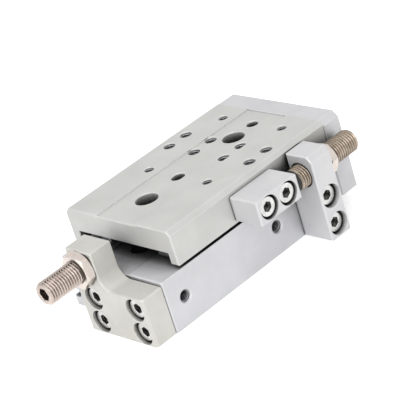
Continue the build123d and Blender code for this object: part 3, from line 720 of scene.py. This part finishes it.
@dataclass
class TappedHoles:
    """The cut threads that show inside a row of tapped holes.

    Attributes:
        name: The piece's name.
        body: The body that the holes are in.
        slot: The name of a material slot; not used.
        finish: The finish of the threads.
        thread: The thread's size.
        length_mm: Depth to which the thread runs.
        inward: The way into the holes.
        mouths_mm: The middle of each hole's mouth.
        start_mm: Depth at which the thread begins.
        ridge_share: Height of the ridge, as a share of the pitch.
        foot_share: Half the width of its foot, as a share of the pitch.
        columns: Points for each turn.
    """

    name: str
    body: str
    slot: str
    finish: Finish
    thread: Thread
    length_mm: float
    inward: tuple[float, float, float]
    mouths_mm: list[tuple[float, float, float]]
    start_mm: float = 0.9
    ridge_share: float = 0.5
    foot_share: float = 0.36
    columns: int = 28

    def ridge(self, work: bmesh.types.BMesh, place: Matrix) -> None:
        """Adds one helical ridge with a triangular section.

        Args:
            work: The mesh that gets the ridge.
            place: Turns local millimetres with +Z into the hole to the part's metres.
        """
        wall, pitch = self.thread.wall_mm, self.thread.pitch_mm
        steps = int((self.length_mm - self.start_mm) / pitch * self.columns)
        foot = self.foot_share * pitch
        tip = wall - self.ridge_share * pitch
        rows = []
        for step in range(steps + 1):
            turn = math.tau * step / self.columns
            deep = self.start_mm + pitch * step / self.columns
            corners = ((wall, deep - foot), (wall, deep + foot), (tip, deep))
            rows.append([
                work.verts.new(place @ Vector((r * math.cos(turn), r * math.sin(turn), z)))
                for r, z in corners
            ])
        for low, high in zip(rows, rows[1:]):
            for side in range(len(low)):
                after = (side + 1) % len(low)
                work.faces.new((low[side], low[after], high[after], high[side]))
        work.faces.new(rows[0][::-1])
        work.faces.new(rows[-1])

    def build(self) -> bpy.types.Object:
        """Builds the threads of all the holes as one piece.

        Returns:
            The piece.
        """
        work = bmesh.new()
        aim = Vector(self.inward).to_track_quat("Z", "Y").to_matrix().to_4x4()
        for mouth in self.mouths_mm:
            self.ridge(work, Matrix.Scale(MM, 4) @ Matrix.Translation(mouth) @ aim)
        return finished_object(self.name, work, self.finish, self.body)


@dataclass
class SubAssembly:
    """CAD nodes that keep their shape and get a finish, and the pieces built on them.

    Attributes:
        finishes: The finish of each node.
    """

    finishes: dict[str, Finish]

    def pieces(self) -> list[bpy.types.Object]:
        """Builds what the nodes don't hold; most sub-assemblies have nothing here."""
        return []

    def build(self) -> None:
        """Dresses the nodes and builds the pieces."""
        for node, finish in self.finishes.items():
            dress(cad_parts[node], finish)
            LOG.info("dressed %s in %s", node, finish.name)
        for piece in self.pieces():
            LOG.info("built %s", piece.name)


@dataclass
class CylinderBody(SubAssembly):
    """The flat body with its stop blocks, air ports and fixing holes.

    Attributes:
        port_height_mm: Height of the ports.
        port_places_mm: Place of each open port along the stroke.
        base_spacing_mm: Spacing of the fixing holes along and across.
        thread_length_mm: Depth to which their threads run.
    """

    port_height_mm: float = 11.6
    port_places_mm: tuple[float, ...] = (-35.3, 18.1)
    base_spacing_mm: tuple[float, float] = (50.0, 45.0)
    thread_length_mm: float = 6.6

    def pieces(self) -> list[bpy.types.Object]:
        """Builds the threads of the ports and of the fixing holes.

        Returns:
            One piece for the ports and one for the fixing holes.
        """
        low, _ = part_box("body")
        ports = [(x, low.y / MM, self.port_height_mm) for x in self.port_places_mm]
        along, across = self.base_spacing_mm
        base = [(x * along / 2, y * across / 2, 0.0) for x, y in CORNERS]
        shared = ("base", "anodised_body", CUT_THREAD, LARGE_THREAD, self.thread_length_mm)
        return [
            TappedHoles("port_threads", *shared, (0.0, 1.0, 0.0), ports).build(),
            TappedHoles("base_threads", *shared, (0.0, 0.0, 1.0), base).build(),
        ]


@dataclass
class SlideTable(SubAssembly):
    """The table with its end plate and stopper, and their tapped holes.

    Attributes:
        recess_mm: How far the middle strip lies under the two outer strips.
        work_middle_mm: Middle of the work holes along the stroke.
        work_spacing_mm: Their spacing along the stroke.
        inner_pitch_mm: Spacing across of the inner work holes.
        outer_pitch_mm: Spacing across of the outer ones.
        small_middle_mm: Middle of the small holes along the stroke.
        small_spacing_mm: Their spacing along and across.
        plate_middle_mm: Height of the middle of the end plate's tapped holes.
        plate_spacing_mm: Their spacing across and up.
        work_thread_mm: Depth to which the work holes' threads run.
        small_thread_mm: The same for the small holes.
        small_start_mm: Depth at which the small holes' threads begin.
        plate_thread_mm: Depth to which the end plate's threads run.
    """

    recess_mm: float = 0.5
    work_middle_mm: float = 24.2
    work_spacing_mm: float = 10.0
    inner_pitch_mm: float = 17.6
    outer_pitch_mm: float = 47.2
    small_middle_mm: float = 23.3
    small_spacing_mm: tuple[float, float] = (44.6, 34.4)
    plate_middle_mm: float = 24.0
    plate_spacing_mm: tuple[float, float] = (36.0, 9.0)
    work_thread_mm: float = 8.8
    small_thread_mm: float = 7.4
    small_start_mm: float = 0.8
    plate_thread_mm: float = 8.4

    def pieces(self) -> list[bpy.types.Object]:
        """Builds the threads of the table's and the end plate's holes.

        Returns:
            One piece for each kind of hole.
        """
        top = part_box("table")[1].z / MM
        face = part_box("end_plate")[1].x / MM
        work, small, plate = [], [], []
        for first, second in CORNERS:
            x = self.work_middle_mm + first * self.work_spacing_mm / 2
            work.append((x, second * self.inner_pitch_mm / 2, top - self.recess_mm))
            work.append((x, second * self.outer_pitch_mm / 2, top))
            x = self.small_middle_mm + first * self.small_spacing_mm[0] / 2
            small.append((x, second * self.small_spacing_mm[1] / 2, top))
            z = self.plate_middle_mm + second * self.plate_spacing_mm[1] / 2
            plate.append((face, first * self.plate_spacing_mm[0] / 2, z))
        shared = ("table", "anodised_table", CUT_THREAD)
        down = (0.0, 0.0, -1.0)
        back = (-1.0, 0.0, 0.0)
        groups = (
            TappedHoles("work_threads", *shared, LARGE_THREAD, self.work_thread_mm, down, work),
            TappedHoles(
                "small_threads", *shared, SMALL_THREAD, self.small_thread_mm, down, small,
                start_mm=self.small_start_mm,
            ),
            TappedHoles("end_plate_threads", *shared, LARGE_THREAD, self.plate_thread_mm, back, plate),
        )
        return [group.build() for group in groups]


@dataclass
class StrokeStops(SubAssembly):
    """Lock nuts and bumpers on their threaded bolts, which are built here.

    Attributes:
        bolts: The two bolts.
    """

    bolts: tuple[AdjusterBolt, ...] = (
        AdjusterBolt(
            "rear_threaded_bolt", "rear_adjuster_bolt", "rear_bolt", (0.8, 30.7), -1, ADJUSTER_PLATING,
        ),
        AdjusterBolt(
            # The front bolt wears the shaded copy of the plating: painted shade and reflection.
            "front_threaded_bolt", "front_adjuster_bolt", "front_bolt", (-38.498, 29.6), 1, SHADED_ADJUSTER_PLATING,
        ),
    )

    def pieces(self) -> list[bpy.types.Object]:
        """Builds the bolts."""
        return [bolt.build() for bolt in self.bolts]


BODY = CylinderBody({
    "body": BODY_ANODISE,
    "rear_stop_block": BLOCK_ANODISE,
    "front_stop_block": STOP_ANODISE,
    "rear_block_screws": SCREW_PLATING,
    "front_block_screws": SCREW_PLATING,
    "port_plugs": SCREW_PLATING,
})
TABLE = SlideTable({
    "table": TABLE_ANODISE,
    "end_plate": PLATE_ANODISE,
    "stopper_block": STOP_ANODISE,
    "end_plate_screws": SCREW_PLATING,
    "stopper_screws": SCREW_PLATING,
})
STOPS = StrokeStops({
    "rear_lock_nut": NUT_PLATING,
    "front_lock_nut": NUT_PLATING,
    "rear_bumper": RUBBER,
    "front_bumper": RUBBER,
})
DRIVE = SubAssembly({
    "right_piston_rod": ROD_CHROME,
    "left_piston_rod": ROD_CHROME,
    "rod_end_screws": SCREW_PLATING,
    "right_piston": TURNED_ALUMINIUM,
    "left_piston": TURNED_ALUMINIUM,
    "piston_nuts": SCREW_PLATING,
    "piston_seals": RUBBER,
    "piston_magnets": RESIN,
    "piston_wear_rings": RING_RESIN,
    "right_rod_cover": TURNED_ALUMINIUM,
    "left_rod_cover": TURNED_ALUMINIUM,
    "rod_bushes": BUSH_BRONZE,
    "rod_seals": RUBBER,
    "rod_bumpers": RUBBER,
    "right_rear_plug": TURNED_ALUMINIUM,
    "left_rear_plug": TURNED_ALUMINIUM,
    "bore_o_rings": RUBBER,
    "retaining_rings": RING_STEEL,
})
GUIDE = SubAssembly({
    "right_body_rail": GROUND_STEEL,
    "left_body_rail": GROUND_STEEL,
    "right_table_rail": GROUND_STEEL,
    "left_table_rail": GROUND_STEEL,
    "body_rail_screws": SCREW_PLATING,
    "table_rail_screws": SCREW_PLATING,
    "right_ball_cage": RESIN,
    "left_ball_cage": RESIN,
    "right_balls": BALL_STEEL,
    "left_balls": BALL_STEEL,
})


@dataclass(frozen=True)
class Lamp:
    """A round soft lamp.

    Attributes:
        name: The lamp's name.
        place: Its middle in metres.
        power: Its power in watts.
        size: Its width in metres.
    """

    name: str
    place: tuple[float, float, float]
    power: float
    size: float = 1.8

    def build(self, target: Vector) -> None:
        """Hangs the lamp and aims it.

        Args:
            target: The point in metres that it aims at.
        """
        lamp = bpy.data.lights.new(self.name, "AREA")
        lamp.shape = "DISK"
        lamp.size = self.size
        lamp.energy = self.power
        holder = bpy.data.objects.new(self.name, lamp)
        holder.location = self.place
        aim = target - Vector(self.place)
        holder.rotation_euler = aim.to_track_quat("-Z", "Y").to_euler()
        bpy.context.scene.collection.objects.link(holder)


@dataclass
class Studio:
    """White floor, white surround and soft lamps.

    Attributes:
        floor_drop_mm: How far the floor lies under the part.
        floor_size: Width of the floor in metres.
        floor_shade: Colour of the floor in sRGB hex.
        floor_glow: Strength of the floor's own glow where it is seen directly.
        ambient: Strength of the surround on matt surfaces.
        target: The point in metres that the lamps aim at.
        lamps: The lamps.
    """

    floor_drop_mm: float = 0.05
    floor_size: float = 6.0
    floor_shade: str = "f4f4f4"
    floor_glow: float = 0.45
    ambient: float = 0.68
    target: tuple[float, float, float] = (0.0, 0.0, 0.02)
    lamps: tuple[Lamp, ...] = (
        Lamp("key_lamp", (-1.4, -1.8, 1.2), 22.0),
        Lamp("top_lamp", (0.0, 0.0, 2.6), 16.0),
        Lamp("rear_lamp", (-2.4, 0.0, 0.7), 9.0),
    )

    def seen_directly(self, tree: bpy.types.NodeTree) -> bpy.types.NodeSocket:
        """Adds the test for rays that show a surface rather than light one.

        Args:
            tree: The node tree that gets the test.

        Returns:
            One for camera, glossy and transmission rays, else zero.
        """
        path = add_node(tree, "ShaderNodeLightPath")
        first = add_node(
            tree,
            "ShaderNodeMath",
            settings={"operation": "MAXIMUM"},
            values={0: path.outputs["Is Camera Ray"], 1: path.outputs["Is Glossy Ray"]},
        )
        return add_node(
            tree,
            "ShaderNodeMath",
            settings={"operation": "MAXIMUM"},
            values={0: first.outputs[0], 1: path.outputs["Is Transmission Ray"]},
        ).outputs[0]

    def surround(self) -> None:
        """Makes the world: plain white where it is seen, softer as light."""
        world = bpy.data.worlds.new("studio_surround")
        bpy.context.scene.world = world
        world.use_nodes = True
        tree = world.node_tree
        tree.nodes.clear()
        strength = add_node(
            tree,
            "ShaderNodeMapRange",
            values={"Value": self.seen_directly(tree), "To Min": self.ambient, "To Max": 1.0},
        )
        light = add_node(
            tree,
            "ShaderNodeBackground",
            values={"Color": linear(WHITE), "Strength": strength.outputs["Result"]},
        )
        add_node(tree, "ShaderNodeOutputWorld", values={"Surface": light.outputs["Background"]})

    def floor(self) -> None:
        """Lays the floor, white to the camera apart from the part's shadow."""
        half = self.floor_size / 2
        level = -self.floor_drop_mm * MM
        work = bmesh.new()
        corners = [(-half, -half), (half, -half), (half, half), (-half, half)]
        work.faces.new([work.verts.new((x, y, level)) for x, y in corners])
        mesh = bpy.data.meshes.new("studio_floor")
        work.to_mesh(mesh)
        work.free()
        floor = bpy.data.objects.new("studio_floor", mesh)
        bpy.context.scene.collection.objects.link(floor)
        material = bpy.data.materials.new("studio_floor")
        material.use_nodes = True
        tree = material.node_tree
        tree.nodes.clear()
        matt = add_node(tree, "ShaderNodeBsdfDiffuse", values={"Color": linear(self.floor_shade)})
        strength = add_node(
            tree,
            "ShaderNodeMapRange",
            values={"Value": self.seen_directly(tree), "To Min": 0.0, "To Max": self.floor_glow},
        )
        glow = add_node(
            tree,
            "ShaderNodeEmission",
            values={"Color": linear(WHITE), "Strength": strength.outputs["Result"]},
        )
        both = add_node(
            tree, "ShaderNodeAddShader", values={0: matt.outputs[0], 1: glow.outputs[0]}
        )
        add_node(tree, "ShaderNodeOutputMaterial", values={"Surface": both.outputs[0]})
        mesh.materials.append(material)
        floor.visible_shadow = False

    def build(self) -> None:
        """Builds the surround, the floor and the lamps."""
        self.surround()
        self.floor()
        for lamp in self.lamps:
            lamp.build(Vector(self.target))


@dataclass
class Camera:
    """The viewpoint of the photograph.

    Attributes:
        azimuth: Angle round the part in degrees, 0 looking along +Y.
        elevation: Angle above the horizon in degrees.
        roll: Lean of the upright to the left in degrees.
        target_mm: The point in the middle of the picture.
        distance_mm: Distance from that point.
        lens_mm: Focal length.
        sensor_mm: Width of the sensor.
        clip: Nearest and farthest distance that it sees, in metres.
    """

    azimuth: float = -37.17
    elevation: float = 25.99
    roll: float = 17.65
    target_mm: tuple[float, float, float] = (14.34, 8.35, 19.4)
    distance_mm: float = 800.0
    lens_mm: float = 175.36
    sensor_mm: float = 36.0
    clip: tuple[float, float] = (0.01, 50.0)

    def build(self) -> None:
        """Sets up the camera and makes it the scene's own."""
        data = bpy.data.cameras.new("photo_camera")
        data.sensor_width = self.sensor_mm
        data.lens = self.lens_mm
        data.clip_start, data.clip_end = self.clip
        camera = bpy.data.objects.new("photo_camera", data)
        turn, rise = math.radians(self.azimuth), math.radians(self.elevation)
        back = Vector((math.sin(turn) * math.cos(rise), -math.cos(turn) * math.cos(rise), math.sin(rise)))
        level = (-back).to_track_quat("-Z", "Y").to_matrix().to_4x4()
        place = Vector(self.target_mm) * MM + back * self.distance_mm * MM
        lean = Matrix.Rotation(math.radians(-self.roll), 4, "Z")
        camera.matrix_world = Matrix.Translation(place) @ level @ lean
        bpy.context.scene.collection.objects.link(camera)
        bpy.context.scene.camera = camera


def main() -> None:
    """Builds the picture: camera, studio, finishes and detailed pieces."""
    logging.basicConfig(level=logging.INFO, format="%(name)s: %(message)s")
    bpy.context.scene.view_settings.view_transform = "Standard"
    Camera().build()
    Studio().build()
    for assembly in (BODY, TABLE, STOPS, DRIVE, GUIDE):
        assembly.build()


if __name__ == "__main__":
    main()
